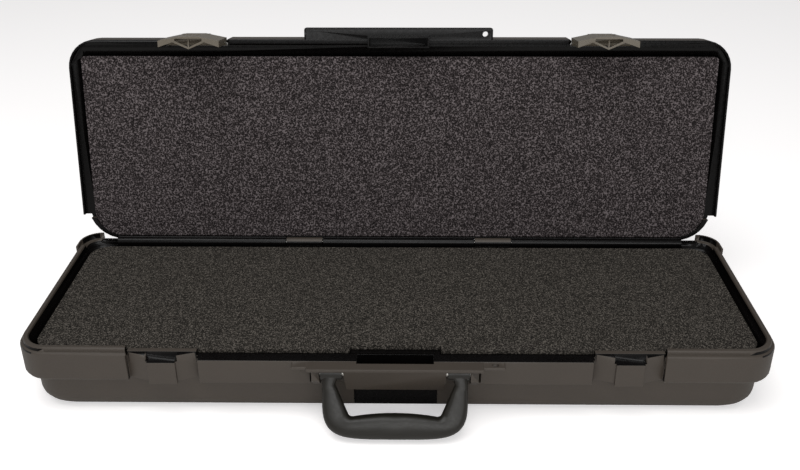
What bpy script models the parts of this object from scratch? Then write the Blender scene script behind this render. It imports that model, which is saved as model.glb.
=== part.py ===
"""Blow moulded carrying case with foam pads, standing open on a table.

Metres, +Z up. The origin is the middle of the base's underside, the front
with the handle faces -Y, and the hinge runs along X at the rear. The lid is
written in its own frame, with its origin on the hinge axis and in its closed
pose, and an empty on that axis turns it open.
"""
import math

import bpy
import bmesh

# Base, seen from above: the belt's outside
CASE_WIDTH = 0.720
CASE_DEPTH = 0.232
CORNER_RADIUS = 0.031
REAR_RADIUS = 0.022
BODY_INSET = 0.0085
BODY_ROUND = 0.018
EDGE_ROUND = 0.0022

# Heights of the base
PARTING_HEIGHT = 0.0715
BELT_HEIGHT = 0.0303
FLOOR_SKIN = 0.0035
RUNNING_GAP = 0.0003

# Rim: an outer face, then a tongue that the lid's groove takes, then a step
RIM_FACE = 0.0032
TONGUE_WIDTH = 0.0057
TONGUE_HEIGHT = 0.0044
TONGUE_ROUND = 0.0012
STEP_DROP = 0.0055
TONGUE_REAR_STOP = 0.027

# Foam pads
WELL_INSET_SIDE = 0.0157
WELL_INSET_FRONT = 0.0115
WELL_INSET_REAR = 0.0187
WELL_RADIUS = 0.020
WELL_ROUND = 0.0148
FOAM_DROP = 0.0020

# Hollow between the two skins of the belt
SKIN = 0.0025
HOLLOW_HEIGHT = 0.014
BLOW_HOLE_RADIUS = 0.002
BLOW_HOLE_X = 0.200

# Hinge
HINGE_DROP = 0.0025
HINGE_SETBACK = 0.0055
KNUCKLE_RADIUS = 0.0052
KNUCKLE_CLEARANCE = 0.0005
ROD_RADIUS = 0.0016
MID_KNUCKLE_HALF = 0.0863
BASE_KNUCKLE_LENGTH = 0.0417
END_KNUCKLE_LENGTH = 0.1925
KNUCKLE_WEB = 0.0080
REAR_RIM_DROP = 0.0014
LID_OPEN_ANGLE = math.radians(101.2)

# Raised shoulders round the base's rear corners
SHOULDER_HEIGHT = 0.0062
SHOULDER_WALL = 0.0027
SHOULDER_LENGTH = 0.0340
SHOULDER_END_X = 0.0212

# Lid
LID_DEPTH = 0.048
LID_BODY_INSET = 0.0072
LID_REAR_WALL_SETBACK = 0.0025
LID_REAR_WALL = 0.0035
LID_REAR_RADIUS = 0.038
LID_BELT_END = 0.0305
LID_LIP = 0.0027
LID_GROOVE_DEPTH = 0.0052
LID_GROOVE_END = 0.027
LID_WELL_INSET_SIDE = 0.0140
LID_WELL_INSET_FRONT = 0.0175
LID_FOAM_DROP = 0.0015
LID_FOAM_FRONT_RADIUS = 0.0045
LID_FOAM_REAR_RADIUS = 0.030

# Front middle zone, between the latches
MID_HALF_WIDTH = 0.1845
MID_PROUD = 0.0030
MID_DROP = 0.0045
MID_LIP_WALL = 0.0035

# Latch recesses and keepers
LATCH_CENTRE_X = 0.2190
RECESS_HALF_WIDTH = 0.0335
RECESS_DEPTH = 0.0055
KEEPER_RISE = 0.0060
KEEPER_HALF_WIDTH = 0.0135
KEEPER_PROUD = 0.0032
KEEPER_TOP_DROP = 0.0075
KEEPER_LENGTH = 0.0245
KEEPER_NOTCH_HALF = 0.0150
KEEPER_SLOPE_DROP = 0.0012
KEEPER_ROUND = 0.0008
KEEPER_RIM_SET = 0.0050
KEEPER_RIM_WALL = 0.0055

# Latches
LATCH_HALF_WIDTH = 0.0320
LATCH_PIN_HEIGHT = 0.0075
LATCH_PIN_SETBACK = 0.0035
LATCH_PIN_RADIUS = 0.00125
LATCH_PIN_TAIL = 0.0030
LATCH_KNUCKLE_RADIUS = 0.0031
LATCH_FACE = 0.0022
LATCH_ARCH = 0.0066
LATCH_ARCH_HALF = 0.0105
LATCH_END_WALL = 0.0067
LATCH_WALL = 0.0023
HOOK_HEIGHT = 0.0024
HOOK_WALL = 0.0020
HOOK_DEPTH = 0.0066
HOOK_WEB = 0.0014
LATCH_SLOT_LENGTH = 0.0190
LATCH_SLOT_WIDTH = 0.0110
LATCH_SLOT_DEPTH = 0.0009
LATCH_ROUND = 0.0006
LATCH_POCKET_DEPTH = 0.0070

# Shelf at the middle of the front, with the slot for the lid's boss
SHELF_HALF_WIDTH = 0.0820
PADLOCK_TAB_END = 0.1020
PLAIN_TAB_END = 0.0960
SHELF_PROUD = 0.0160
SHELF_TAB_PROUD = 0.0118
SHELF_THICKNESS = 0.0034
SHELF_TAB_THICKNESS = 0.0036
SHELF_DROP = 0.0050
SHELF_ROUND = 0.0050
SLOT_HALF_LENGTH = 0.0360
SLOT_FRONT = 0.0060
SLOT_REAR = 0.0080
SLOT_DEPTH = 0.0200
BUMP_HALF_WIDTH = 0.0430
BUMP_DEPTH = 0.0080
BUMP_FOOT = 0.0120
HAND_RECESS_HALF = 0.0400
HAND_RECESS_FOOT = 0.0042
HAND_RECESS_WALL = 0.0040
PADLOCK_X = 0.0930
PADLOCK_PROUD = 0.0066
PADLOCK_RADIUS = 0.0030

# Handle mount under the shelf
EAR_OUTER = 0.0772
EAR_INNER = 0.0700
PANEL_HALF_TOP = 0.0480
PANEL_HALF_FOOT = 0.0450
PANEL_FOOT_HEIGHT = 0.0440
SOCKET_BACK = 0.0010
EAR_SHOULDER_HEIGHT = 0.0530
POCKET_WIDTH = 0.0030
POCKET_DEPTH = 0.0050
POCKET_TOP_DROP = 0.0050

# Handle, as a U in its own plane, measured from its pivot axis
HANDLE_TILT = math.radians(28)
PIVOT_PROUD = 0.0080
PIVOT_HEIGHT = 0.0570
HANDLE_HALF_WIDTH = 0.0678
HANDLE_LEG = 0.0124
HANDLE_REACH = 0.0610
GRIP_HEIGHT = 0.0243
GRIP_ARCH = 0.0034
INNER_CORNER_X = 0.0440
INNER_CORNER_RADIUS = 0.0045
GRIP_THICKNESS = 0.0200
LEG_THICKNESS = 0.0110
LEG_STRAIGHT = 0.0150
HUB_RADIUS = 0.0060
HUB_FLARE = 0.0100
HUB_INNER = 0.0492
HANDLE_PIN_RADIUS = 0.0025
HANDLE_PIN_INNER = 0.0415
HANDLE_PIN_OUTER = 0.0775
HANDLE_OUTER_SHARE = 0.46
SECTION_SHARE = 0.72
LEG_SHARES = (0, 0.3, 0.6, 1)
LEAN_SHARES = (0.25, 0.5, 0.75, 1)

# The lid's centre tab and boss
TAB_HALF_WIDTH = 0.1012
TAB_PROUD = 0.0132
TAB_THICKNESS = 0.0090
BOSS_SIDE_CLEARANCE = 0.0030
BOSS_CLEARANCE = 0.0008
BOSS_LENGTH = 0.0098
BOSS_WALL = 0.0025

# How finely round things are cut
CORNER_STEPS = 8
ROUND_STEPS = 5
CYLINDER_STEPS = 32
OVERRUN = 0.010

HALF_WIDTH = CASE_WIDTH / 2
FRONT = -CASE_DEPTH / 2
REAR = CASE_DEPTH / 2
LEDGE_HEIGHT = PARTING_HEIGHT - BELT_HEIGHT
HINGE_Y = REAR - HINGE_SETBACK
HINGE_Z = PARTING_HEIGHT - HINGE_DROP
STEP_HEIGHT = PARTING_HEIGHT - STEP_DROP
MID_TOP = PARTING_HEIGHT - MID_DROP
SHELF_TOP = PARTING_HEIGHT - SHELF_DROP
RECESS_INNER = LATCH_CENTRE_X - RECESS_HALF_WIDTH
RECESS_OUTER = LATCH_CENTRE_X + RECESS_HALF_WIDTH
KEEPER_TOP = PARTING_HEIGHT - KEEPER_TOP_DROP
KEEPER_FOOT = KEEPER_TOP - KEEPER_LENGTH
BASE_KNUCKLE_END = MID_KNUCKLE_HALF + BASE_KNUCKLE_LENGTH
HINGE_END = BASE_KNUCKLE_END + END_KNUCKLE_LENGTH


def start_empty():
    """Remove what the file holds, and make the collections for the case and its cutters."""
    for obj in list(bpy.data.objects):
        bpy.data.objects.remove(obj, do_unlink=True)
    scene = bpy.context.scene.collection
    for name in ("blow_molded_case", "cutters"):
        collection = bpy.data.collections.new(name)
        scene.children.link(collection)
    return bpy.data.collections["blow_molded_case"], bpy.data.collections["cutters"]


PARTS, CUTTERS = start_empty()


def material(name, colour, roughness, metallic=0.0):
    """A Principled material with one colour."""
    mat = bpy.data.materials.new(name)
    mat.use_nodes = True
    shader = mat.node_tree.nodes["Principled BSDF"]
    shader.inputs["Base Color"].default_value = (*colour, 1)
    shader.inputs["Roughness"].default_value = roughness
    shader.inputs["Metallic"].default_value = metallic
    return mat


def put(mesh, name, collection, parent=None):
    """An object with this mesh, in this collection and under this parent."""
    obj = bpy.data.objects.new(name, mesh)
    collection.objects.link(obj)
    obj.parent = parent
    if collection is CUTTERS:
        obj.hide_render = True
        obj.display_type = "WIRE"
    return obj


def outline(half_x, front, rear, front_radius, rear_radius, z):
    """A rectangle with round corners, anticlockwise from above, as points at height z."""
    corners = (
        (half_x - front_radius, front + front_radius, front_radius, -90),
        (half_x - rear_radius, rear - rear_radius, rear_radius, 0),
        (rear_radius - half_x, rear - rear_radius, rear_radius, 90),
        (front_radius - half_x, front + front_radius, front_radius, 180),
    )
    points = []
    for x, y, radius, start in corners:
        for step in range(CORNER_STEPS + 1):
            angle = math.radians(start + 90 * step / CORNER_STEPS)
            points.append((x + radius * math.cos(angle), y + radius * math.sin(angle), z))
    return points


def loft(rings, name, collection=None, parent=None, ring_shut=False):
    """A closed skin over rings of points, from the first to the last. Shut, it runs on to the first."""
    bm = bmesh.new()
    rows = [[bm.verts.new(p) for p in ring] for ring in rings]
    if ring_shut:
        rows.append(rows[0])
    else:
        bm.faces.new(list(reversed(rows[0])))
        bm.faces.new(rows[-1])
    for low, high in zip(rows, rows[1:]):
        for i in range(len(low)):
            k = (i + 1) % len(low)
            bm.faces.new((low[i], low[k], high[k], high[i]))
    mesh = bpy.data.meshes.new(name)
    bm.to_mesh(mesh)
    bm.free()
    return put(mesh, name, collection or CUTTERS, parent)


def box(name, x, y, z, bevel=0, parent=None, collection=None):
    """A box between pairs of x, y and z, with its edges rounded by the bevel."""
    bm = bmesh.new()
    bmesh.ops.create_cube(bm, size=1)
    spans = [sorted(pair) for pair in (x, y, z)]
    for vert in bm.verts:
        vert.co = [(low + high) / 2 + c * (high - low) for c, (low, high) in zip(vert.co, spans)]
    mesh = bpy.data.meshes.new(name)
    bm.to_mesh(mesh)
    bm.free()
    obj = put(mesh, name, collection or CUTTERS, parent)
    if bevel:
        soften(obj, bevel)
    return obj


def prism(name, points, low, high, axis, parent=None):
    """An outline of (u, v) points carried along an axis between two places."""
    rings = []
    for place in (low, high):
        if axis == "x":
            rings.append([(place, u, v) for u, v in points])
        else:
            rings.append([(u, v, place) for u, v in points])
    obj = loft(rings, name, parent=parent)
    bm = bmesh.new()
    bm.from_mesh(obj.data)
    bmesh.ops.recalc_face_normals(bm, faces=bm.faces)
    bm.to_mesh(obj.data)
    bm.free()
    return obj


def cylinder(name, radius, low, high, y, z, axis="x", parent=None, collection=None):
    """A cylinder along X between two x, at (y, z), or along Z between two z, at (x, y)."""
    bm = bmesh.new()
    bmesh.ops.create_cone(bm, cap_ends=True, segments=CYLINDER_STEPS, radius1=radius,
                          radius2=radius, depth=abs(high - low))
    for vert in bm.verts:
        a, b, along = vert.co
        if axis == "x":
            vert.co = (along + (low + high) / 2, y + a, z + b)
        else:
            vert.co = (y + a, z + b, along + (low + high) / 2)
    mesh = bpy.data.meshes.new(name)
    bm.to_mesh(mesh)
    bm.free()
    mesh.shade_smooth()
    mesh.set_sharp_from_angle(angle=math.radians(40))
    return put(mesh, name, collection or CUTTERS, parent)


def soften(obj, width, segments=2):
    """Round an object's edges."""
    bevel = obj.modifiers.new("rounded_edges", "BEVEL")
    bevel.width = width
    bevel.segments = segments
    bevel.limit_method = "ANGLE"


def combine(obj, other, operation):
    """Boolean one object with another, which stays as a hidden cutter."""
    boolean = obj.modifiers.new(other.name, "BOOLEAN")
    boolean.operation = operation
    boolean.object = other
    boolean.solver = "EXACT"


def cut(obj, *others):
    for other in others:
        combine(obj, other, "DIFFERENCE")


def join(obj, *others):
    for other in others:
        combine(obj, other, "UNION")


def quarter(radius):
    """(inset, rise) of points up a round foot of this radius, from its flat to its wall."""
    turns = [math.pi / 2 * step / ROUND_STEPS for step in range(ROUND_STEPS + 1)]
    return [(radius * (1 - math.sin(turn)), radius * (1 - math.cos(turn))) for turn in turns]


def body_ring(inset, z, corner=None):
    """A ring of the base at an inset from the belt's outside, with corners round the same middles."""
    front = corner or CORNER_RADIUS - min(inset, CORNER_RADIUS / 2)
    rear = corner or REAR_RADIUS - min(inset, REAR_RADIUS / 2)
    return outline(HALF_WIDTH - inset, FRONT + inset, REAR - inset, front, rear, z)


def outer_rings():
    """Rings up the base's outside: a rounded foot, a plain wall, then the belt's ledge."""
    rings = [body_ring(BODY_INSET + inset, rise, CORNER_RADIUS) for inset, rise in quarter(BODY_ROUND)]
    rings.append(body_ring(BODY_INSET, LEDGE_HEIGHT - EDGE_ROUND / 2, CORNER_RADIUS))
    rings.append(body_ring(BODY_INSET - EDGE_ROUND / 2, LEDGE_HEIGHT))
    rings.append(body_ring(EDGE_ROUND / 2, LEDGE_HEIGHT))
    rings.append(body_ring(0, LEDGE_HEIGHT + EDGE_ROUND))
    return rings


def well_ring(z, inset=0):
    """A ring of the base's foam well, drawn in by an inset."""
    corner = max(WELL_RADIUS - inset, WELL_RADIUS / 8)
    return outline(HALF_WIDTH - WELL_INSET_SIDE - inset, FRONT + WELL_INSET_FRONT + inset,
                   REAR - WELL_INSET_REAR - inset, corner, corner, z)


def well_foot(ring, floor, way, gap=0):
    """Rings round a well's rounded foot, from its wall down or up to its floor."""
    rounds = reversed(quarter(WELL_ROUND - gap))
    return [ring(floor + way * (rise + gap), inset + gap) for inset, rise in rounds]


def base_tray():
    """The base from its foot over the tongue and down to the floor of the foam well."""
    rings = outer_rings()
    rings.append(body_ring(0, PARTING_HEIGHT - EDGE_ROUND))
    rings.append(body_ring(EDGE_ROUND / 3, PARTING_HEIGHT - EDGE_ROUND / 3))
    rings.append(body_ring(EDGE_ROUND, PARTING_HEIGHT))
    rings.append(body_ring(RIM_FACE, PARTING_HEIGHT))
    tongue_top = PARTING_HEIGHT + TONGUE_HEIGHT
    inner = RIM_FACE + TONGUE_WIDTH
    rings.append(body_ring(RIM_FACE, tongue_top - TONGUE_ROUND))
    rings.append(body_ring(RIM_FACE + TONGUE_ROUND, tongue_top))
    rings.append(body_ring(inner - TONGUE_ROUND, tongue_top))
    rings.append(body_ring(inner, tongue_top - TONGUE_ROUND))
    rings.append(body_ring(inner, STEP_HEIGHT))
    rings.append(well_ring(STEP_HEIGHT))
    rings += well_foot(well_ring, FLOOR_SKIN, 1)
    return loft(rings, "base_shell", PARTS)


def belt_hollow(name, ring, foot, height, parent=None):
    """The hollow between the belt's two skins, as a ring whose front middle is left solid."""
    inner = WELL_INSET_FRONT - SKIN
    rings = [ring(SKIN, foot), ring(SKIN, foot + height), ring(inner, foot + height), ring(inner, foot)]
    rings = [list(reversed(r)) for r in rings]
    hollow = loft(rings, name, parent=parent, ring_shut=True)
    return hollow


def base_hollow():
    foot = LEDGE_HEIGHT + SKIN
    hollow = belt_hollow("base_hollow", body_ring, foot, HOLLOW_HEIGHT)
    solid = box("base_hollow_stop", (-RECESS_OUTER - SKIN, RECESS_OUTER + SKIN),
                (FRONT - OVERRUN, FRONT + CORNER_RADIUS), (foot - OVERRUN, PARTING_HEIGHT))
    cut(hollow, solid)
    middle = foot + HOLLOW_HEIGHT / 2
    hole = cylinder("base_blow_hole", BLOW_HOLE_RADIUS, REAR - WELL_INSET_FRONT / 2, REAR + OVERRUN,
                    0, 0)
    turn_to_y(hole, BLOW_HOLE_X, middle)
    return hollow, hole


def turn_to_y(obj, x, z):
    """Turn a cylinder made along X so that it runs along Y, at this x and z."""
    for vert in obj.data.vertices:
        along, a, b = vert.co
        vert.co = (x - a, along, z + b)


def front_strip(name, x, proud, depth, z, bevel=0, parent=None):
    """A box on the case's front, from some way proud of the belt to some way behind it."""
    return box(name, x, (FRONT - proud, FRONT + depth), z, bevel, parent)


def base_front(shell):
    """The middle zone of the front, the latch recesses and their keepers."""
    top = (MID_TOP, PARTING_HEIGHT + OVERRUN)
    cut(shell, front_strip("rim_break", (-RECESS_OUTER, RECESS_OUTER), OVERRUN,
                           RIM_FACE + TONGUE_WIDTH, top))
    join(shell, front_strip("mid_face", (-MID_HALF_WIDTH, MID_HALF_WIDTH), MID_PROUD,
                            WELL_INSET_FRONT / 2, (LEDGE_HEIGHT, MID_TOP), EDGE_ROUND / 3))
    for side, sign in (("left", -1), ("right", 1)):
        recess_x = (sign * RECESS_INNER, sign * RECESS_OUTER)
        cut(shell, front_strip(f"recess_{side}", recess_x, OVERRUN, RECESS_DEPTH,
                               (LEDGE_HEIGHT - EDGE_ROUND, PARTING_HEIGHT + OVERRUN)))
        keeper_slope(shell, side, sign)
        keeper_x = (sign * (LATCH_CENTRE_X - KEEPER_HALF_WIDTH), sign * (LATCH_CENTRE_X + KEEPER_HALF_WIDTH))
        join(shell, front_strip(f"keeper_{side}", keeper_x, KEEPER_PROUD, BODY_INSET + EDGE_ROUND / 2,
                                (KEEPER_FOOT, KEEPER_TOP), KEEPER_ROUND))
        rim_x = (sign * (RECESS_INNER + KEEPER_ROUND), sign * (RECESS_OUTER - KEEPER_ROUND))
        join(shell, front_strip(f"keeper_rim_{side}", rim_x, -KEEPER_RIM_SET,
                                KEEPER_RIM_SET + KEEPER_RIM_WALL, (MID_TOP - OVERRUN, PARTING_HEIGHT),
                                EDGE_ROUND / 4))


def keeper_slope(shell, side, sign):
    """The face behind a latch, which slopes out to the keeper from both ends of the recess."""
    face = FRONT + RECESS_DEPTH
    crest = face - KEEPER_RISE
    back = FRONT + BODY_INSET + EDGE_ROUND / 2
    edge = RECESS_HALF_WIDTH - KEEPER_ROUND
    points = [
        (-edge, back),
        (-edge, face),
        (-KEEPER_HALF_WIDTH, crest),
        (KEEPER_HALF_WIDTH, crest),
        (edge, face),
        (edge, back),
    ]
    points = [(sign * LATCH_CENTRE_X + x, y) for x, y in points]
    top = PARTING_HEIGHT - KEEPER_SLOPE_DROP
    join(shell, prism(f"keeper_slope_{side}", points, LEDGE_HEIGHT + EDGE_ROUND / 4, top, "z"))
    notch_x = (sign * (LATCH_CENTRE_X - KEEPER_NOTCH_HALF), sign * (LATCH_CENTRE_X + KEEPER_NOTCH_HALF))
    cut(shell, front_strip(f"keeper_notch_{side}", notch_x, OVERRUN, RECESS_DEPTH - EDGE_ROUND / 5,
                           (KEEPER_TOP - EDGE_ROUND / 5, PARTING_HEIGHT + OVERRUN)))


def base_shelf(shell):
    """The shelf with the boss slot and its end tabs, the handle's mount, and room for a hand below it."""
    inner = WELL_INSET_FRONT / 2
    panel_z = (PANEL_FOOT_HEIGHT, SHELF_TOP - SHELF_THICKNESS / 2)
    centre_panel(shell, panel_z)
    join(shell, front_strip("shelf", (-SHELF_HALF_WIDTH, SHELF_HALF_WIDTH), SHELF_PROUD, inner,
                            (SHELF_TOP - SHELF_THICKNESS, SHELF_TOP), EDGE_ROUND / 3))
    tab_z = (SHELF_TOP - SHELF_TAB_THICKNESS, SHELF_TOP - EDGE_ROUND / 5)
    tab_start = SHELF_HALF_WIDTH - SHELF_ROUND
    tabs = (("padlock_tab", (tab_start, PADLOCK_TAB_END)), ("plain_tab", (-tab_start, -PLAIN_TAB_END)))
    for name, tab_x in tabs:
        join(shell, front_strip(name, tab_x, SHELF_TAB_PROUD, inner, tab_z, EDGE_ROUND / 2))
    join(shell, box("slot_bump", (-BUMP_HALF_WIDTH, BUMP_HALF_WIDTH),
                    (FRONT + BODY_INSET + EDGE_ROUND, FRONT + WELL_INSET_FRONT + BUMP_DEPTH),
                    (BUMP_FOOT, STEP_HEIGHT - EDGE_ROUND / 5), EDGE_ROUND / 2))
    recess_back = WELL_INSET_FRONT + BUMP_DEPTH - HAND_RECESS_WALL
    lining_x = BUMP_HALF_WIDTH - EDGE_ROUND / 5
    lining_y = (FRONT + recess_back - EDGE_ROUND / 4, FRONT + WELL_INSET_FRONT + BUMP_DEPTH - EDGE_ROUND / 5)
    join(shell, box("hand_recess_lining", (-lining_x, lining_x), lining_y,
                    (HAND_RECESS_FOOT + EDGE_ROUND / 5, BUMP_FOOT + EDGE_ROUND * 2)))
    cut(shell, front_strip("hand_recess", (-HAND_RECESS_HALF, HAND_RECESS_HALF), OVERRUN + SHELF_PROUD,
                           recess_back, (HAND_RECESS_FOOT, LEDGE_HEIGHT - EDGE_ROUND / 2)))
    cut(shell, box("boss_slot", (-SLOT_HALF_LENGTH, SLOT_HALF_LENGTH),
                   (FRONT - SLOT_FRONT, FRONT + SLOT_REAR), (SHELF_TOP - SLOT_DEPTH, SHELF_TOP + OVERRUN)))
    cut(shell, cylinder("padlock_hole", PADLOCK_RADIUS, SHELF_TOP - OVERRUN, SHELF_TOP + OVERRUN,
                        PADLOCK_X, FRONT - PADLOCK_PROUD, "z"))
    for side, sign in (("left", -1), ("right", 1)):
        handle_socket(shell, side, sign)


def centre_panel(shell, panel_z):
    """The panel between the handle's legs, narrower at its foot."""
    points = [
        (-PANEL_HALF_FOOT, panel_z[0]),
        (PANEL_HALF_FOOT, panel_z[0]),
        (PANEL_HALF_TOP, panel_z[1]),
        (-PANEL_HALF_TOP, panel_z[1]),
    ]
    rings = []
    for y in (FRONT - SHELF_PROUD + EDGE_ROUND / 3, FRONT + BODY_INSET + EDGE_ROUND):
        rings.append([(x, y, z) for x, z in points])
    join(shell, loft(rings, "centre_panel"))


def handle_socket(shell, side, sign):
    """One ear of the handle's mount, with room for the leg, its pin hole, and the slot beside the ear."""
    face = FRONT - SHELF_PROUD + EDGE_ROUND / 3
    inner = FRONT + WELL_INSET_FRONT / 2
    foot = LEDGE_HEIGHT + EDGE_ROUND / 3
    ceiling = SHELF_TOP - SHELF_THICKNESS
    gusset = [(inner, foot), (FRONT - MID_PROUD - EDGE_ROUND / 2, foot), (face, EAR_SHOULDER_HEIGHT),
              (face, ceiling + SHELF_THICKNESS / 2), (inner, ceiling + SHELF_THICKNESS / 2)]
    join(shell, prism(f"ear_{side}", gusset, sign * EAR_INNER, sign * EAR_OUTER, "x"))
    cut(shell, front_strip(f"socket_{side}", (sign * PANEL_HALF_TOP, sign * EAR_INNER), OVERRUN + SHELF_PROUD,
                           -SOCKET_BACK, (LEDGE_HEIGHT - OVERRUN, ceiling)))
    cut(shell, front_strip(f"ear_pocket_{side}", (sign * EAR_OUTER, sign * (EAR_OUTER + POCKET_WIDTH)),
                           OVERRUN + SHELF_PROUD, POCKET_DEPTH,
                           (LEDGE_HEIGHT + EDGE_ROUND, SHELF_TOP - POCKET_TOP_DROP)))
    cut(shell, cylinder(f"handle_pin_hole_{side}", HANDLE_PIN_RADIUS + RUNNING_GAP,
                        sign * (HANDLE_PIN_INNER - RUNNING_GAP), sign * (EAR_OUTER + POCKET_WIDTH / 3),
                        FRONT - PIVOT_PROUD, PIVOT_HEIGHT))


def knuckle_spans():
    """The lid's three long knuckles and the base's two short ones, as spans along X."""
    gap = RUNNING_GAP
    lid = [
        (-HINGE_END, -BASE_KNUCKLE_END - gap),
        (-MID_KNUCKLE_HALF + gap, MID_KNUCKLE_HALF - gap),
        (BASE_KNUCKLE_END + gap, HINGE_END),
    ]
    base = [(-BASE_KNUCKLE_END, -MID_KNUCKLE_HALF), (MID_KNUCKLE_HALF, BASE_KNUCKLE_END)]
    return lid, base


def base_rear(shell):
    """The rear rim, the troughs for the lid's knuckles, the base's knuckles and the shoulders.

    The shoulders stop beside the lid's rear corners, which pass close to their ends as the lid turns.
    """
    rim_top = PARTING_HEIGHT - REAR_RIM_DROP
    end_x = HALF_WIDTH - SHOULDER_END_X
    cut(shell, box("rear_rim_cut", (-end_x, end_x), (REAR - WELL_INSET_REAR - OVERRUN, REAR + OVERRUN),
                   (rim_top, PARTING_HEIGHT + OVERRUN)))
    cut(shell, box("rear_tongue_cut", (-HALF_WIDTH - OVERRUN, HALF_WIDTH + OVERRUN),
                   (REAR - TONGUE_REAR_STOP, REAR + OVERRUN), (PARTING_HEIGHT, PARTING_HEIGHT + OVERRUN)))
    lid_spans, base_spans = knuckle_spans()
    for index, (low, high) in enumerate(lid_spans):
        cut(shell, cylinder(f"trough_{index}", KNUCKLE_RADIUS + KNUCKLE_CLEARANCE, low - KNUCKLE_CLEARANCE,
                            high + KNUCKLE_CLEARANCE, HINGE_Y, HINGE_Z))
    for index, (low, high) in enumerate(base_spans):
        inset = KNUCKLE_CLEARANCE
        join(shell, cylinder(f"base_knuckle_{index}", KNUCKLE_RADIUS, low + inset, high - inset,
                             HINGE_Y, HINGE_Z))
    cut(shell, cylinder("rod_hole", ROD_RADIUS + RUNNING_GAP, -HINGE_END - OVERRUN, HINGE_END + OVERRUN,
                        HINGE_Y, HINGE_Z))
    shoulder_z = (PARTING_HEIGHT - SHOULDER_HEIGHT, PARTING_HEIGHT + SHOULDER_HEIGHT)
    skin = SHOULDER_WALL / 8
    rings = [
        body_ring(skin, shoulder_z[0]),
        body_ring(skin, shoulder_z[1] - EDGE_ROUND / 3),
        body_ring(EDGE_ROUND / 3, shoulder_z[1]),
        body_ring(SHOULDER_WALL, shoulder_z[1]),
        body_ring(SHOULDER_WALL, shoulder_z[0]),
    ]
    shoulders = loft(rings, "shoulders", ring_shut=True)
    cut(shoulders, box("shoulder_front", (-HALF_WIDTH - OVERRUN, HALF_WIDTH + OVERRUN),
                       (FRONT - OVERRUN, REAR - SHOULDER_LENGTH),
                       (shoulder_z[0] - OVERRUN, shoulder_z[1] + OVERRUN)))
    stop_x = end_x - EDGE_ROUND / 2
    cut(shoulders, box("shoulder_middle", (-stop_x, stop_x), (FRONT - OVERRUN * 2, REAR + OVERRUN),
                       (shoulder_z[0] - OVERRUN, shoulder_z[1] + OVERRUN)))
    join(shell, shoulders)


def base_shell():
    shell = base_tray()
    base_front(shell)
    base_shelf(shell)
    base_rear(shell)
    cut(shell, *base_hollow())
    weld = shell.modifiers.new("weld", "WELD")
    weld.merge_threshold = RUNNING_GAP / 60
    shell.data.materials.append(material("black_polyethylene", (0.035, 0.031, 0.025), 0.45))
    return shell


def base_foam():
    """The base's foam pad, notched round the slot's bump."""
    top = PARTING_HEIGHT - FOAM_DROP
    rings = list(reversed(well_foot(well_ring, FLOOR_SKIN, 1, RUNNING_GAP)))
    rings.append(well_ring(top, RUNNING_GAP))
    foam = loft(rings, "base_foam", PARTS)
    cut(foam, box("foam_notch", (-BUMP_HALF_WIDTH - RUNNING_GAP, BUMP_HALF_WIDTH + RUNNING_GAP),
                  (FRONT, FRONT + WELL_INSET_FRONT + BUMP_DEPTH + RUNNING_GAP), (-OVERRUN, top + OVERRUN)))
    foam.data.materials.append(material("charcoal_foam", (0.09, 0.085, 0.09), 1.0))
    return foam


def handle_sections():
    """Rings along half of the handle, from its pivot to the middle of the grip.

    Each ring joins a point of the outer outline to one of the inner outline.
    The outer one is a straight leg that turns into the grip along a
    superellipse. x is how far a point lies from the middle, and y from the pivot.
    """
    inner = inner_outline()
    outer = [(HANDLE_HALF_WIDTH, LEG_STRAIGHT * share) for share in LEG_SHARES]
    steps = len(inner) - len(outer) - 1
    for step in range(steps + 1):
        turn = math.pi / 2 * step / steps
        cosine, sine = max(math.cos(turn), 0), math.sin(turn)
        if step == steps:
            cosine = 0
        outer.append((HANDLE_HALF_WIDTH * cosine ** HANDLE_OUTER_SHARE,
                      LEG_STRAIGHT + (HANDLE_REACH - LEG_STRAIGHT) * sine ** HANDLE_OUTER_SHARE))
    rings = []
    for index, (out, into) in enumerate(zip(outer, inner)):
        along = index / (len(inner) - 1)
        thick = LEG_THICKNESS + (GRIP_THICKNESS - LEG_THICKNESS) * math.sin(math.pi / 2 * along) ** 2
        rings.append(oval(out, into, thick))
    return rings


def inner_outline():
    """Half of the handle's inside: a flared hub, a leg that leans in, a tight corner and a low arch."""
    leg_x = HANDLE_HALF_WIDTH - HANDLE_LEG
    reach = HANDLE_REACH - GRIP_HEIGHT
    corner_y = reach + GRIP_ARCH
    points = []
    for share in LEG_SHARES:
        turn = math.pi / 2 * share
        points.append((HUB_INNER + (leg_x - HUB_INNER) * math.sin(turn), HUB_FLARE * share))
    lean = math.atan2(leg_x - INNER_CORNER_X, corner_y - HUB_FLARE)
    radius = INNER_CORNER_RADIUS
    middle = (INNER_CORNER_X - radius / math.cos(lean), corner_y - radius)
    for share in LEAN_SHARES:
        points.append((leg_x + (middle[0] + radius * math.cos(lean) - leg_x) * share,
                       HUB_FLARE + (middle[1] + radius * math.sin(lean) - HUB_FLARE) * share))
    for step in range(1, CORNER_STEPS + 1):
        turn = lean + (math.pi / 2 - lean) * step / CORNER_STEPS
        points.append((middle[0] + radius * math.cos(turn), middle[1] + radius * math.sin(turn)))
    for step in range(1, ROUND_STEPS + 1):
        share = 1 - step / ROUND_STEPS
        points.append((middle[0] * share, reach + GRIP_ARCH * share ** 2))
    return points


def oval(outer, inner, thick):
    """A ring of the handle between two points of its plane, rounded across its thickness."""
    ring = []
    for step in range(CYLINDER_STEPS // 2):
        turn = 2 * math.pi * step / (CYLINDER_STEPS // 2)
        cosine, sine = math.cos(turn), math.sin(turn)
        across = math.copysign(abs(cosine) ** SECTION_SHARE, cosine) / 2
        deep = math.copysign(abs(sine) ** SECTION_SHARE, sine) / 2
        x = (outer[0] + inner[0]) / 2 + (outer[0] - inner[0]) * across
        reach = (outer[1] + inner[1]) / 2 + (outer[1] - inner[1]) * across
        ring.append((x, thick * deep, -reach))
    return ring


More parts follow.
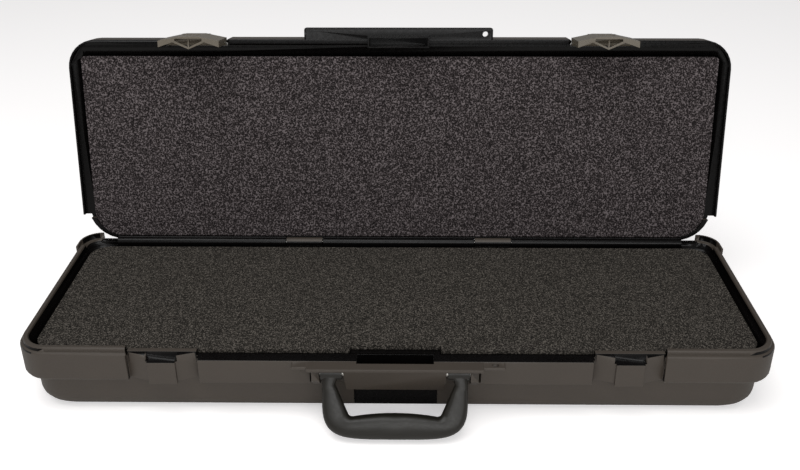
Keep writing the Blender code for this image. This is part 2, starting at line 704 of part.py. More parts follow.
def handle():
    """The bail handle, hanging from its pivot and tilted out, with a hub on each leg."""
    pivot = bpy.data.objects.new("handle_pivot", None)
    PARTS.objects.link(pivot)
    pivot.location = (0, FRONT - PIVOT_PROUD, PIVOT_HEIGHT)
    pivot.rotation_euler = (-HANDLE_TILT, 0, 0)
    rings = handle_sections()
    bm = bmesh.new()
    rows = [[bm.verts.new(p) for p in ring] for ring in rings]
    bm.faces.new(rows[0])
    for low, high in zip(rows, rows[1:]):
        for i in range(len(low)):
            k = (i + 1) % len(low)
            bm.faces.new((low[i], high[i], high[k], low[k]))
    bmesh.ops.recalc_face_normals(bm, faces=bm.faces)
    mesh = bpy.data.meshes.new("handle")
    bm.to_mesh(mesh)
    bm.free()
    mesh.shade_smooth()
    mesh.set_sharp_from_angle(angle=math.radians(50))
    bail = put(mesh, "handle", PARTS, pivot)
    mirror = bail.modifiers.new("other_half", "MIRROR")
    mirror.use_clip = True
    mirror.merge_threshold = RUNNING_GAP / 10
    for side, sign in (("left", -1), ("right", 1)):
        hub_outer = EAR_INNER - RUNNING_GAP * 2
        join(bail, cylinder(f"hub_{side}", HUB_RADIUS, sign * HUB_INNER, sign * hub_outer, 0, 0,
                            parent=pivot))
        cut(bail, cylinder(f"hub_hole_{side}", HANDLE_PIN_RADIUS + RUNNING_GAP, sign * (HUB_INNER - OVERRUN),
                           sign * (hub_outer + OVERRUN), 0, 0, parent=pivot))
        pin = cylinder(f"handle_pin_{side}", HANDLE_PIN_RADIUS, sign * HANDLE_PIN_INNER,
                       sign * HANDLE_PIN_OUTER, 0, 0, collection=PARTS)
        pin.location = pivot.location
        pin.data.materials.append(material(f"handle_pin_steel_{side}", (0.45, 0.45, 0.44), 0.35, 1.0))
    bail.data.materials.append(material("grey_green_plastic", (0.06, 0.063, 0.052), 0.4))
    return bail


# In the lid's frame, closed, y and z are measured from the hinge axis
LID_FRONT = FRONT - HINGE_Y
LID_REAR = -LID_REAR_WALL_SETBACK
LID_RIM = HINGE_DROP + RUNNING_GAP
LID_TOP = HINGE_DROP + LID_DEPTH
LID_LEDGE = HINGE_DROP + BELT_HEIGHT
LID_MID_RIM = LID_RIM - MID_DROP
LID_TAB_RIM = LID_MID_RIM + EDGE_ROUND / 10


def lid_ring(inset, z, rear=None):
    """A ring of the lid's belt at an inset from its outside, with the lid's own rear."""
    corner = CORNER_RADIUS - min(inset, CORNER_RADIUS / 2)
    back = REAR - HINGE_Y - inset if rear is None else rear
    return outline(HALF_WIDTH - inset, LID_FRONT + inset, back, corner, corner, z)


def lid_body_ring(inset, z):
    """A ring of the lid's body, whose rear corners are rounder to pass the base's shoulders."""
    side = LID_BODY_INSET + inset
    front = BODY_INSET + inset
    return outline(HALF_WIDTH - side, LID_FRONT + front, LID_REAR - inset, CORNER_RADIUS - front / 2,
                   LID_REAR_RADIUS - inset, z)


def lid_well_ring(z, inset=0):
    """A ring of the lid's foam well, drawn in by an inset."""
    return outline(HALF_WIDTH - LID_WELL_INSET_SIDE - inset, LID_FRONT + LID_WELL_INSET_FRONT + inset,
                   LID_REAR - LID_REAR_WALL - inset,
                   max(LID_FOAM_FRONT_RADIUS - inset, LID_FOAM_FRONT_RADIUS / 8),
                   LID_FOAM_REAR_RADIUS - inset, z)


def lid_groove_ring(z):
    """The groove's floor, from inside the outer lip back over the foam well."""
    side = LID_LIP
    return outline(HALF_WIDTH - side, LID_FRONT + side, -LID_GROOVE_END, CORNER_RADIUS - side,
                   LID_LIP, z)


def lid_shell(hinge):
    """The lid: a rounded body with a belt round its sides and front, hollowed for groove and foam."""
    rings = [lid_body_ring(0, LID_RIM)]
    rings += [lid_body_ring(inset, LID_TOP - rise) for inset, rise in reversed(quarter(BODY_ROUND))]
    shell = loft(rings, "lid_shell", PARTS, hinge)
    belt = loft([
        lid_ring(EDGE_ROUND, LID_RIM),
        lid_ring(EDGE_ROUND / 3, LID_RIM + EDGE_ROUND / 3),
        lid_ring(0, LID_RIM + EDGE_ROUND),
        lid_ring(0, LID_LEDGE - EDGE_ROUND),
        lid_ring(EDGE_ROUND / 2, LID_LEDGE),
        lid_ring(BODY_INSET + EDGE_ROUND, LID_LEDGE),
    ], "lid_belt", parent=hinge)
    cut(belt, box("lid_belt_end", (-HALF_WIDTH - OVERRUN, HALF_WIDTH + OVERRUN),
                  (-LID_BELT_END, OVERRUN * 2), (-OVERRUN, LID_TOP), parent=hinge))
    join(shell, belt)
    lid_front_face(shell, hinge)
    groove = loft([lid_groove_ring(LID_RIM - OVERRUN / 5), lid_groove_ring(LID_RIM + LID_GROOVE_DEPTH)],
                  "lid_groove", parent=hinge)
    well = loft([lid_well_ring(LID_RIM - OVERRUN)] + well_foot(lid_well_ring, LID_TOP - FLOOR_SKIN, -1),
                "lid_well", parent=hinge)
    cut(shell, groove, well)
    lid_front_details(shell, hinge)
    lid_knuckles(shell, hinge)
    cut(shell, *lid_hollow(hinge))
    shell.data.materials.append(material("lid_polyethylene", (0.03, 0.027, 0.022), 0.45))
    return shell


def lid_strip(name, x, proud, depth, z, hinge, bevel=0):
    """A box on the lid's front, from some way proud of the belt to some way behind it."""
    return box(name, x, (LID_FRONT - proud, LID_FRONT + depth), z, bevel, hinge)


def lid_front_face(shell, hinge):
    """The middle zone of the lid's front, a little proud of the belt."""
    join(shell, lid_strip("lid_mid_face", (-MID_HALF_WIDTH, MID_HALF_WIDTH), MID_PROUD / 3, BODY_INSET,
                          (LID_RIM - EDGE_ROUND / 4, LID_LEDGE - EDGE_ROUND / 2), hinge, EDGE_ROUND / 4))


def lid_front_details(shell, hinge):
    """What shows inside the rim at the front: lip, tab, boss, and the pockets for the latches."""
    lip_x = MID_HALF_WIDTH - EDGE_ROUND
    join(shell, lid_strip("lid_mid_lip", (-lip_x, lip_x), MID_PROUD / 4, MID_LIP_WALL,
                          (LID_MID_RIM, LID_RIM + LID_GROOVE_DEPTH + EDGE_ROUND), hinge, EDGE_ROUND / 5))
    join(shell, lid_strip("lid_tab", (-TAB_HALF_WIDTH, TAB_HALF_WIDTH), TAB_PROUD, LID_LIP,
                          (LID_TAB_RIM, LID_TAB_RIM + TAB_THICKNESS), hinge, EDGE_ROUND))
    boss_x = SLOT_HALF_LENGTH - BOSS_SIDE_CLEARANCE
    boss_front = SLOT_FRONT - BOSS_CLEARANCE
    boss_rear = SLOT_REAR - BOSS_CLEARANCE
    join(shell, lid_strip("lid_boss", (-boss_x, boss_x), boss_front, boss_rear,
                          (LID_TAB_RIM - BOSS_LENGTH, LID_RIM + LID_GROOVE_DEPTH + EDGE_ROUND), hinge,
                          EDGE_ROUND / 4))
    cut(shell, lid_strip("lid_boss_hollow", (BOSS_WALL - boss_x, boss_x - BOSS_WALL), boss_front - BOSS_WALL,
                         boss_rear - BOSS_WALL, (LID_TAB_RIM - BOSS_LENGTH * 2, LID_RIM + EDGE_ROUND), hinge))
    cut(shell, cylinder("lid_padlock_hole", PADLOCK_RADIUS, LID_TAB_RIM - OVERRUN,
                        LID_TAB_RIM + TAB_THICKNESS + OVERRUN / 2, PADLOCK_X, LID_FRONT - PADLOCK_PROUD, "z",
                        hinge))
    for side, sign in (("left", -1), ("right", 1)):
        pocket_x = (sign * RECESS_INNER, sign * RECESS_OUTER)
        cut(shell, lid_strip(f"latch_pocket_{side}", pocket_x, OVERRUN, LATCH_POCKET_DEPTH,
                             (-OVERRUN, LID_LEDGE + OVERRUN / 5), hinge))
        tail = RECESS_HALF_WIDTH + LATCH_PIN_TAIL + RUNNING_GAP
        cut(shell, cylinder(f"latch_pin_hole_{side}", LATCH_PIN_RADIUS + RUNNING_GAP,
                            sign * (LATCH_CENTRE_X - tail), sign * (LATCH_CENTRE_X + tail),
                            LID_FRONT + LATCH_PIN_SETBACK, LID_RIM + LATCH_PIN_HEIGHT, parent=hinge))


def lid_knuckles(shell, hinge):
    """The lid's three knuckles on the hinge axis, with room for the base's two."""
    lid_spans, base_spans = knuckle_spans()
    for index, (low, high) in enumerate(base_spans):
        cut(shell, cylinder(f"lid_trough_{index}", KNUCKLE_RADIUS + KNUCKLE_CLEARANCE, low, high, 0, 0,
                            parent=hinge))
    for index, (low, high) in enumerate(lid_spans):
        join(shell, cylinder(f"lid_knuckle_{index}", KNUCKLE_RADIUS, low, high, 0, 0, parent=hinge))
        join(shell, box(f"lid_knuckle_web_{index}", (low, high), (LID_REAR - LID_REAR_WALL, 0),
                        (0, KNUCKLE_WEB), parent=hinge))
    cut(shell, cylinder("lid_rod_hole", ROD_RADIUS + RUNNING_GAP, -HINGE_END - OVERRUN, HINGE_END + OVERRUN,
                        0, 0, parent=hinge))


def lid_hollow(hinge):
    """The hollow between the two skins of the lid's belt, along the front beside each latch."""
    foot = LID_RIM + LID_GROOVE_DEPTH + SKIN
    hollow = belt_hollow("lid_hollow", lid_ring, foot, HOLLOW_HEIGHT, hinge)
    cut(hollow, box("lid_hollow_rear", (-HALF_WIDTH - OVERRUN, HALF_WIDTH + OVERRUN),
                    (-LID_BELT_END - SKIN, OVERRUN * 2), (-OVERRUN, LID_TOP), parent=hinge))
    stop_x = RECESS_OUTER + LATCH_PIN_TAIL + SKIN
    cut(hollow, box("lid_hollow_stop", (-stop_x, stop_x), (LID_FRONT - OVERRUN, LID_FRONT + CORNER_RADIUS),
                    (-OVERRUN, LID_TOP), parent=hinge))
    middle = foot + HOLLOW_HEIGHT / 2
    holes = []
    for side, sign in (("left", -1), ("right", 1)):
        low = HALF_WIDTH - WELL_INSET_FRONT / 2
        holes.append(cylinder(f"lid_blow_hole_{side}", BLOW_HOLE_RADIUS, sign * low,
                              sign * (HALF_WIDTH + OVERRUN), LID_FRONT / 2, middle, parent=hinge))
    return [hollow] + holes


def lid_foam(hinge):
    """The lid's foam pad, a little inside the rim."""
    rings = [lid_well_ring(LID_RIM + LID_FOAM_DROP, RUNNING_GAP)]
    rings += well_foot(lid_well_ring, LID_TOP - FLOOR_SKIN, -1, RUNNING_GAP)
    foam = loft(rings, "lid_foam", PARTS, hinge)
    foam.data.materials.append(material("lid_foam_grey", (0.10, 0.09, 0.10), 1.0))
    return foam


def latch_profile():
    """The latch from above, closed, as (x, y) points round its outside and back along its inside."""
    half = LATCH_HALF_WIDTH
    keeper = KEEPER_HALF_WIDTH + RUNNING_GAP * 2
    bend = RECESS_DEPTH - KEEPER_RISE - RUNNING_GAP * 3
    outside = [
        (-half, -LATCH_FACE),
        (-LATCH_ARCH_HALF, -LATCH_ARCH),
        (LATCH_ARCH_HALF, -LATCH_ARCH),
        (half, -LATCH_FACE),
    ]
    inside = [
        (half, LATCH_END_WALL - LATCH_FACE),
        (keeper + RUNNING_GAP, bend),
        (keeper, LATCH_WALL - LATCH_ARCH),
        (-keeper, LATCH_WALL - LATCH_ARCH),
        (-keeper - RUNNING_GAP, bend),
        (-half, LATCH_END_WALL - LATCH_FACE),
    ]
    return outside + inside


def latch_hook(body, side, foot, pivot):
    """The hook across the latch's free end: a thin vee under the keeper, with a web up its middle."""
    end = KEEPER_HALF_WIDTH + HOOK_WALL * 2
    bend = RECESS_DEPTH - KEEPER_RISE - RUNNING_GAP * 3
    vee = [
        (-end, bend - HOOK_WALL),
        (0, HOOK_DEPTH - HOOK_WALL),
        (end, bend - HOOK_WALL),
        (end, bend + HOOK_WALL / 4),
        (0, HOOK_DEPTH),
        (-end, bend + HOOK_WALL / 4),
    ]
    z = (foot + LATCH_ROUND / 4, foot + HOOK_HEIGHT)
    points = [(x, y - LATCH_PIN_SETBACK) for x, y in vee]
    join(body, prism(f"hook_{side}", points, *z, "z", pivot))
    web_y = (LATCH_WALL / 2 - LATCH_ARCH - LATCH_PIN_SETBACK, HOOK_DEPTH - HOOK_WALL / 2 - LATCH_PIN_SETBACK)
    join(body, box(f"hook_web_{side}", (-HOOK_WEB / 2, HOOK_WEB / 2), web_y,
                   (z[0] + LATCH_ROUND / 4, z[1] - LATCH_ROUND / 4), parent=pivot))


def latch(side, sign, hinge):
    """One latch, hung on its pin, whose arch goes over the keeper and hooks under its foot."""
    pivot = bpy.data.objects.new(f"latch_pivot_{side}", None)
    PARTS.objects.link(pivot)
    pivot.parent = hinge
    pivot.location = (sign * LATCH_CENTRE_X, LID_FRONT + LATCH_PIN_SETBACK, LID_RIM + LATCH_PIN_HEIGHT)
    foot = KEEPER_FOOT - PARTING_HEIGHT - LATCH_PIN_HEIGHT - RUNNING_GAP * 3 - HOOK_HEIGHT
    points = [(x, y - LATCH_PIN_SETBACK) for x, y in latch_profile()]
    rings = [[(x, y, z) for x, y in points] for z in (foot, 0)]
    body = loft(rings, f"latch_{side}", PARTS, pivot)
    block_y = (-LATCH_ARCH - LATCH_PIN_SETBACK + LATCH_ROUND, -LATCH_FACE - LATCH_PIN_SETBACK + LATCH_WALL)
    block_x = KEEPER_HALF_WIDTH + RUNNING_GAP * 4
    join(body, box(f"latch_block_{side}", (-block_x, block_x), block_y,
                   (-LATCH_KNUCKLE_RADIUS * 2, LATCH_KNUCKLE_RADIUS - LATCH_ROUND / 2), parent=pivot))
    top_x = LATCH_HALF_WIDTH - LATCH_ROUND / 4
    top_y = (-LATCH_PIN_SETBACK - LATCH_FACE + LATCH_ROUND / 4, -LATCH_ROUND)
    join(body, box(f"latch_top_{side}", (-top_x, top_x), top_y,
                   (-LATCH_KNUCKLE_RADIUS * 2, LATCH_KNUCKLE_RADIUS - LATCH_ROUND / 4), parent=pivot))
    join(body, cylinder(f"latch_knuckle_{side}", LATCH_KNUCKLE_RADIUS, -LATCH_HALF_WIDTH + LATCH_ROUND / 2,
                        LATCH_HALF_WIDTH - LATCH_ROUND / 2, 0, 0, parent=pivot))
    cut(body, cylinder(f"latch_bore_{side}", LATCH_PIN_RADIUS + RUNNING_GAP, -LATCH_HALF_WIDTH - OVERRUN,
                       LATCH_HALF_WIDTH + OVERRUN, 0, 0, parent=pivot))
    latch_hook(body, side, foot, pivot)
    face = -LATCH_PIN_SETBACK - LATCH_ARCH
    slot_z = (foot / 2 - LATCH_SLOT_WIDTH / 2, foot / 2 + LATCH_SLOT_WIDTH / 2)
    cut(body, box(f"latch_slot_{side}", (-LATCH_SLOT_LENGTH / 2, LATCH_SLOT_LENGTH / 2),
                  (face - OVERRUN, face + LATCH_SLOT_DEPTH), slot_z, parent=pivot))
    body.data.materials.append(material(f"olive_brown_plastic_{side}", (0.12, 0.10, 0.07), 0.4))
    tail = RECESS_HALF_WIDTH + LATCH_PIN_TAIL
    pin = cylinder(f"latch_pin_{side}", LATCH_PIN_RADIUS, -tail, tail, 0, 0, parent=hinge, collection=PARTS)
    pin.location = pivot.location
    pin.data.materials.append(material(f"latch_pin_steel_{side}", (0.45, 0.45, 0.44), 0.35, 1.0))
    return body


def hinge_rod():
    rod = cylinder("hinge_rod", ROD_RADIUS, -HINGE_END, HINGE_END, 0, 0, collection=PARTS)
    rod.location = (0, HINGE_Y, HINGE_Z)
    rod.data.materials.append(material("rod_steel", (0.5, 0.5, 0.49), 0.35, 1.0))
    return rod


def lid_hinge():
    """The empty on the hinge axis, which turns the lid and its latches open."""
    hinge = bpy.data.objects.new("lid_hinge", None)
    PARTS.objects.link(hinge)
    hinge.location = (0, HINGE_Y, HINGE_Z)
    hinge.rotation_euler = (-LID_OPEN_ANGLE, 0, 0)
    return hinge


def build():
    base_shell()
    base_foam()
    handle()
    hinge_rod()
    hinge = lid_hinge()
    lid_shell(hinge)
    lid_foam(hinge)
    for side, sign in (("left", -1), ("right", 1)):
        latch(side, sign, hinge)


build()
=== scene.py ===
"""A long blow moulded carrying case, standing open on a pale table, dressed for its photograph."""
import math

import bmesh
import bpy
from mathutils import Matrix, Vector


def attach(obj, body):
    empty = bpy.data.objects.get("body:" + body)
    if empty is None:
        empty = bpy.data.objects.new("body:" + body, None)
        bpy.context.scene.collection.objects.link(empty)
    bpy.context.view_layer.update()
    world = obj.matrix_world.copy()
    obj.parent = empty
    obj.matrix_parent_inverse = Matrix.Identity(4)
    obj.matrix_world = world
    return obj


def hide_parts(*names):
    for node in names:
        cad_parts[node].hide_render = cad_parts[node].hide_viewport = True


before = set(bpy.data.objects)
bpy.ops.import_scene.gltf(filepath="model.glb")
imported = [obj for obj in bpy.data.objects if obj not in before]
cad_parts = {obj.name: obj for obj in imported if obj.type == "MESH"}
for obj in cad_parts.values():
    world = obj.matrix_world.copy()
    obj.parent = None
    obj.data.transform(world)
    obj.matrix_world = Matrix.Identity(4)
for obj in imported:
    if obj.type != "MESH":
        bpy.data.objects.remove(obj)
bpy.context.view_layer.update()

# Camera: a little above and in front of the case, as the photograph was taken.
# Its place, tilt, turn and roll were worked out from the case's own straight edges.
camera_place = Vector((0.01505, -0.83724, 0.5800))
tilt_down = math.radians(27.89)
turn_left = math.radians(0.81)
roll = math.radians(0.16)
photo_width_px = 800
focal_px = 943.2

ahead = Vector((0, math.cos(tilt_down), -math.sin(tilt_down)))
down = Vector((0, -math.sin(tilt_down), -math.cos(tilt_down)))
right = Vector((1, 0, 0))
turn = Matrix.Rotation(turn_left, 3, "Z")
ahead, down, right = turn @ ahead, turn @ down, turn @ right
right, down = (math.cos(roll) * right + math.sin(roll) * down,
               math.cos(roll) * down - math.sin(roll) * right)
lens = bpy.data.cameras.new("camera")
lens.sensor_width = 36
lens.lens = focal_px * lens.sensor_width / photo_width_px
camera = bpy.data.objects.new("camera", lens)
camera.matrix_world = Matrix.Translation(camera_place) @ Matrix((right, -down, -ahead)).transposed().to_4x4()
bpy.context.scene.collection.objects.link(camera)
bpy.context.scene.camera = camera


# Studio: a white table in a pale surround, lit by two soft boxes.
# The surround shows near white to the camera, and lights the case faintly from all round.
def linear(hex_colour):
    """A linear RGBA colour from an sRGB hex value."""
    channels = [int(hex_colour[i:i + 2], 16) / 255 for i in (1, 3, 5)]
    return tuple(c / 12.92 if c <= 0.04045 else ((c + 0.055) / 1.055) ** 2.4 for c in channels) + (1,)


def add(tree, kind, links=None, **settings):
    """Add a node. links maps its inputs to sockets or values, and settings are its properties."""
    node = tree.nodes.new(kind)
    for name, value in settings.items():
        setattr(node, name, value)
    for key, value in (links or {}).items():
        if isinstance(value, bpy.types.NodeSocket):
            tree.links.new(value, node.inputs[key])
        else:
            node.inputs[key].default_value = value
    return node


def new_material(name):
    """An empty material, its node tree and its output node."""
    material = bpy.data.materials.new(name)
    material.use_nodes = True
    material.node_tree.nodes.clear()
    output = material.node_tree.nodes.new("ShaderNodeOutputMaterial")
    return material, material.node_tree, output


surround_light = 0.30
table_glow_strength = 0.42
case_middle = (0, 0, 0.1)

world = bpy.data.worlds.new("pale_surround")
world.use_nodes = True
sky = world.node_tree
sky.nodes.clear()
seen = add(sky, "ShaderNodeLightPath")
white_seen = add(sky, "ShaderNodeBackground", {"Color": linear("#F1EEEC"), "Strength": 1.0})
soft_light = add(sky, "ShaderNodeBackground", {"Color": linear("#FFFFFF"), "Strength": surround_light})
choose = add(sky, "ShaderNodeMixShader", {0: seen.outputs["Is Camera Ray"], 1: soft_light.outputs[0],
                                          2: white_seen.outputs[0]})
add(sky, "ShaderNodeOutputWorld", {"Surface": choose.outputs[0]})
bpy.context.scene.world = world

table_paint, tree, output = new_material("white_laminate_table")
table_seen = add(tree, "ShaderNodeLightPath")
table_matt = add(tree, "ShaderNodeBsdfDiffuse", {"Color": linear("#F4F2F0")})
table_glow = add(tree, "ShaderNodeEmission", {"Color": linear("#FDFCFE"),
                                                 "Strength": table_glow_strength})
table_both = add(tree, "ShaderNodeAddShader", {0: table_matt.outputs[0], 1: table_glow.outputs[0]})
table_mix = add(tree, "ShaderNodeMixShader", {0: table_seen.outputs["Is Camera Ray"],
                                              1: table_matt.outputs[0], 2: table_both.outputs[0]})
tree.links.new(table_mix.outputs[0], output.inputs["Surface"])

table_half = 3.0
bm = bmesh.new()
bmesh.ops.create_grid(bm, x_segments=2, y_segments=2, size=table_half)
table_mesh = bpy.data.meshes.new("table")
bm.to_mesh(table_mesh)
bm.free()
table_mesh.materials.append(table_paint)
table = bpy.data.objects.new("table", table_mesh)
bpy.context.scene.collection.objects.link(table)


def soft_box(name, place, target, size, watts):
    """A square area light at place, aimed at target."""
    lamp = bpy.data.lights.new(name, "AREA")
    lamp.shape = "RECTANGLE"
    lamp.size, lamp.size_y = size
    lamp.energy = watts
    obj = bpy.data.objects.new(name, lamp)
    obj.location = place
    obj.rotation_euler = (Vector(target) - Vector(place)).to_track_quat("-Z", "Y").to_euler()
    bpy.context.scene.collection.objects.link(obj)


soft_box("overhead_box", place=(-0.3, -0.5, 1.7), target=case_middle, size=(1.6, 1.0), watts=18)
soft_box("front_box", place=(0.3, -2.1, 1.2), target=case_middle, size=(2.0, 1.0), watts=24)


# Base shell: high density polyethylene, blown into a mould whose outer faces are blasted.
# Outside, the plastic is a warm near black with a satin grain. Inside, it is smooth, and its near-black
# colour there is painted shade, which is also laid in the boss slot and the hand recess.
# The keepers, shelf, handle mount and two short hinge knuckles are moulded with it.
seam_gap = 0.000005
flat_angle = math.radians(0.4)
smooth_angle = math.radians(20)
flow_mark_mm = 45
grain_relief = 0.0002


def merged_copy(node, name, whole_flats=False):
    """A CAD node's mesh as a new piece, with its seams merged and its curves shaded smooth."""
    bm = bmesh.new()
    bm.from_mesh(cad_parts[node].data)
    bmesh.ops.remove_doubles(bm, verts=bm.verts, dist=seam_gap)
    if whole_flats:
        bmesh.ops.dissolve_limit(bm, angle_limit=flat_angle, verts=bm.verts, edges=bm.edges)
    mesh = bpy.data.meshes.new(name)
    bm.to_mesh(mesh)
    bm.free()
    mesh.shade_smooth()
    mesh.set_sharp_from_angle(angle=smooth_angle)
    piece = bpy.data.objects.new(name, mesh)
    bpy.context.scene.collection.objects.link(piece)
    flats = piece.modifiers.new("flats_stay_flat", "WEIGHTED_NORMAL")
    flats.weight = 100
    flats.keep_sharp = True
    bpy.context.view_layer.update()
    shaded = piece.evaluated_get(bpy.context.evaluated_depsgraph_get())
    piece.data = bpy.data.meshes.new_from_object(shaded)
    piece.modifiers.clear()
    return piece


def moulded_plastic(name, colour, worn, grain_mm, roughness, bump, edge, shine):
    """Moulded plastic: a fine grain, faint cloudy flow marks, and edges rounded by edge metres."""
    material, tree, output = new_material(name)
    place = add(tree, "ShaderNodeTexCoord")
    grain = add(tree, "ShaderNodeTexNoise", {"Vector": place.outputs["Object"], "Scale": 1000 / grain_mm,
                                             "Detail": 3.0, "Roughness": 0.6})
    cloud = add(tree, "ShaderNodeTexNoise", {"Vector": place.outputs["Object"], "Scale": 1000 / flow_mark_mm,
                                             "Detail": 4.0, "Roughness": 0.55})
    tone = add(tree, "ShaderNodeMapRange", {"Value": cloud.outputs["Fac"], "From Min": 0.35, "From Max": 0.75,
                                            "To Min": 0.0, "To Max": 0.35})
    paint = add(tree, "ShaderNodeMix", {0: tone.outputs[0], 6: linear(colour), 7: linear(worn)},
                data_type="RGBA")
    rough = add(tree, "ShaderNodeMapRange", {"Value": grain.outputs["Fac"], "From Min": 0.3, "From Max": 0.7,
                                             "To Min": roughness - 0.06, "To Max": roughness + 0.08})
    soft_edge = add(tree, "ShaderNodeBevel", {"Radius": edge}, samples=6)
    relief = add(tree, "ShaderNodeBump", {"Height": grain.outputs["Fac"], "Strength": bump,
                                          "Distance": grain_relief, "Normal": soft_edge.outputs[0]})
    shader = add(tree, "ShaderNodeBsdfPrincipled", {"Base Color": paint.outputs[2],
                                                    "Roughness": rough.outputs[0],
                                                    "Normal": relief.outputs[0], "IOR": 1.5,
                                                    "Specular IOR Level": shine})
    tree.links.new(shader.outputs[0], output.inputs["Surface"])
    return material


blasted = moulded_plastic("blasted_polyethylene", "#39322B", "#433B33", 1.2, 0.55, 0.25, 0.0006, 0.5)
# The smooth plastic has the smooth inner finish, but its near-black colour, far darker than the blasted
# outside, is painted shade.
smooth_shaded_plastic = moulded_plastic("smooth_polyethylene_painted_shade", "#060505", "#0A0908", 3.0, 0.26, 0.05, 0.0005, 0.16)

# Where the smooth near-black plastic goes on the base: inside the rim, in the boss slot and behind the hand
# recess. There its near-black colour is painted shade.
rim_height = 0.0715
rim_half_x = 0.3566
rim_half_y = 0.1126
rim_skin = 0.0005
inner_drop = 0.009
shelf_line = -0.119
slot_half = 0.0361
slot_front = -0.1221
slot_rear = -0.1075
slot_foot = 0.045
slot_drop = 0.0055
hand_half = 0.0401
hand_front = -0.1070
hand_rise = 0.006
turned_in = 0.3
sloping_up = 0.5
nearly_level = 0.7


def faces_in(middle, normal):
    """Whether a face looks towards the middle of the case."""
    return normal.x * middle.x + normal.y * middle.y < -turned_in * math.hypot(middle.x, middle.y)


def base_smooth_and_shaded(middle, normal):
    """Whether a face of the base gets the smooth plastic with painted shade. The rim's own top, looking up,
    stays blasted and lighter.
    """
    within = abs(middle.x) < rim_half_x and abs(middle.y) < rim_half_y
    # Level ledges near the rim, below its top, get painted shade. Faces looking up on the rim's top are left
    # out of it, so they stay lighter.
    level = normal.z > nearly_level and middle.y > shelf_line
    rim = normal.z > sloping_up and middle.z > rim_height - rim_skin
    # The boss slot's walls get the near-black plastic as painted shade.
    slot_painted_shade = (abs(middle.x) < slot_half and slot_front < middle.y < slot_rear
            and slot_foot < middle.z < rim_height - slot_drop)
    # The hand recess under the centre panel gets the near-black plastic as painted shade.
    hand_recess_painted_shade = (abs(middle.x) < hand_half and middle.y > hand_front
                 and middle.z < rim_height / 2 + hand_rise)
    # Inner walls and ledges near the rim get the near-black plastic as painted shade.
    near_rim = middle.z > rim_height - inner_drop and (within or level)
    deep = middle.z > rim_height / 2 and (faces_in(middle, normal) and within or near_rim)
    return slot_painted_shade or hand_recess_painted_shade or deep and not rim


def paint_finish_and_shade(piece, gets_smooth_shade, turned=Matrix.Identity(4)):
    """Give a shell's outside the blasted plastic, and its inside the smooth one, whose near-black colour is
    painted shade.
    """
    piece.data.materials.append(blasted)
    piece.data.materials.append(smooth_shaded_plastic)
    for face in piece.data.polygons:
        middle = turned @ face.center
        normal = turned.to_3x3() @ face.normal
        face.material_index = 1 if gets_smooth_shade(middle, normal) else 0


base = merged_copy("base_shell", "base_shell_moulding")
paint_finish_and_shade(base, base_smooth_and_shaded)
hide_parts("base_shell")
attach(base, "base")

# Lid shell: blown from the same plastic in a mould of its own, with a groove for the base's tongue.
# Its belt runs round three sides, and its centre tab carries a boss that drops into the base's slot.
# Its faces are told apart in its closed place, where its opening looks down. Those looking down or in get the
# smooth plastic, whose near-black colour is painted shade.
hinge_place = Vector((0, 0.1105, 0.069))
open_angle = math.radians(101.2)
mouth_skin = 0.001
closed = (Matrix.Translation(hinge_place) @ Matrix.Rotation(open_angle, 4, "X")
          @ Matrix.Translation(-hinge_place))


def lid_smooth_and_shaded(middle, normal):
    """Whether a face of the closed lid gets the smooth plastic with painted shade: it looks down or in, or
    lies below the rim.
    """
    return normal.z < -turned_in or faces_in(middle, normal) or middle.z < rim_height - mouth_skin


lid = merged_copy("lid_shell", "lid_shell_moulding")
paint_finish_and_shade(lid, lid_smooth_and_shaded, closed)
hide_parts("lid_shell")
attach(lid, "lid")

# Hinge rod and pins: drawn mild steel wire, pushed through the moulded knuckles.
# It has a dull bright surface with fine lines along its length, a few long and many across.
lines_per_metre = (20, 2500, 2500)
drawn_steel, tree, output = new_material("drawn_steel_wire")
place = add(tree, "ShaderNodeTexCoord")
stretch = add(tree, "ShaderNodeMapping", {"Vector": place.outputs["Object"], "Scale": lines_per_metre})
lines = add(tree, "ShaderNodeTexNoise", {"Vector": stretch.outputs[0], "Scale": 1.0, "Detail": 2.0})
rough = add(tree, "ShaderNodeMapRange", {"Value": lines.outputs["Fac"], "To Min": 0.25, "To Max": 0.5})
shader = add(tree, "ShaderNodeBsdfPrincipled", {"Base Color": linear("#B9B7B2"), "Metallic": 1.0,
                                                "Roughness": rough.outputs[0]})
tree.links.new(shader.outputs[0], output.inputs["Surface"])
for node in ("hinge_rod", "handle_pin_left", "handle_pin_right", "latch_pin_left", "latch_pin_right"):
    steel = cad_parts[node]
    steel.data.materials.clear()
    steel.data.materials.append(drawn_steel)

# Handle: one loop, injection moulded in a stiffer plastic that is smoother than the shells.
# It hangs on two short pins under the shelf, and its satin grain gives soft broad highlights.
handle_plastic = moulded_plastic("injection_moulded_handle_nylon", "#191713", "#201E19", 2.0, 0.40, 0.12,
                                 0.0004, 0.35)
bail = merged_copy("handle", "handle_moulding")
bail.data.materials.append(handle_plastic)
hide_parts("handle")
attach(bail, "bail")

# Latches: two arched snaps moulded in an olive brown plastic, lighter than the shells.
# Each turns on a pin in the lid's front edge, and its foot hooks under a keeper on the base.
latch_plastic = moulded_plastic("injection_moulded_latch_acetal", "#5A5347", "#686055", 1.5, 0.38, 0.15,
                                0.0004, 0.5)
for side in ("left", "right"):
    snap = merged_copy(f"latch_{side}", f"latch_{side}_moulding")
    snap.data.materials.append(latch_plastic)
    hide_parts(f"latch_{side}")
    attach(snap, f"{side}_latch")


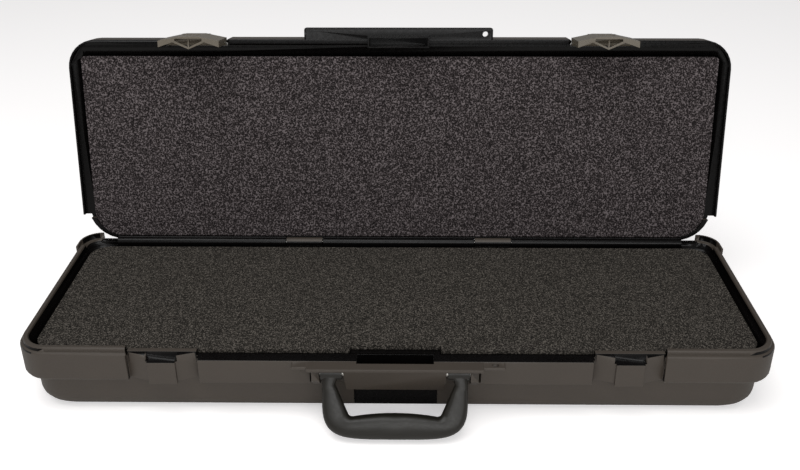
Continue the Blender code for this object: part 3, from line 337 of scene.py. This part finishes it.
# Foam pads: open cell polyurethane, cut flat with a hot wire and pressed into the shells.
# The cut cells show as a fine speckle of dark pores and pale walls.
pore_level = 0.10
cell_level = 0.26
wall_level = 0.42
clump_cells = 1.7
cell_relief = 0.0006


def open_cell_foam(name, dark, middle, pale, cell_mm):
    """Open cell foam: pores of about cell_mm, dark inside, with pale walls between them."""
    material, tree, output = new_material(name)
    place = add(tree, "ShaderNodeTexCoord")
    pores = add(tree, "ShaderNodeTexVoronoi", {"Vector": place.outputs["Object"], "Scale": 1000 / cell_mm,
                                               "Randomness": 1.0})
    clump = add(tree, "ShaderNodeTexNoise", {"Vector": place.outputs["Object"],
                                             "Scale": 1000 / (cell_mm * clump_cells),
                                             "Detail": 2.0, "Roughness": 0.7})
    mixed = add(tree, "ShaderNodeMath", {0: pores.outputs["Distance"], 1: clump.outputs["Fac"]},
                operation="MULTIPLY")
    ramp = add(tree, "ShaderNodeValToRGB", {"Fac": mixed.outputs[0]})
    ramp.color_ramp.elements[0].position = pore_level
    ramp.color_ramp.elements[0].color = linear(dark)
    ramp.color_ramp.elements[1].position = wall_level
    ramp.color_ramp.elements[1].color = linear(pale)
    half = ramp.color_ramp.elements.new(cell_level)
    half.color = linear(middle)
    relief = add(tree, "ShaderNodeBump", {"Height": mixed.outputs[0], "Strength": 0.6,
                                          "Distance": cell_relief})
    shader = add(tree, "ShaderNodeBsdfPrincipled", {"Base Color": ramp.outputs["Color"], "Roughness": 1.0,
                                                    "Specular IOR Level": 0.1, "Normal": relief.outputs[0]})
    tree.links.new(shader.outputs[0], output.inputs["Surface"])
    return material


def foam_pad(node, name, material, body):
    """A pad over its CAD solid: the same block, with its flat faces made whole."""
    pad = merged_copy(node, name, whole_flats=True)
    pad.data.materials.append(material)
    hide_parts(node)
    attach(pad, body)


base_foam = open_cell_foam("charcoal_polyether_foam", "#131211", "#2F2C28", "#5F5A54", 1.3)
lid_foam = open_cell_foam("charcoal_polyether_foam_lid", "#0F0D0E", "#302B2B", "#665F60", 1.5)
foam_pad("base_foam", "base_foam_pad", base_foam, "base")
foam_pad("lid_foam", "lid_foam_pad", lid_foam, "lid")

bpy.context.scene.view_settings.view_transform = "Standard"
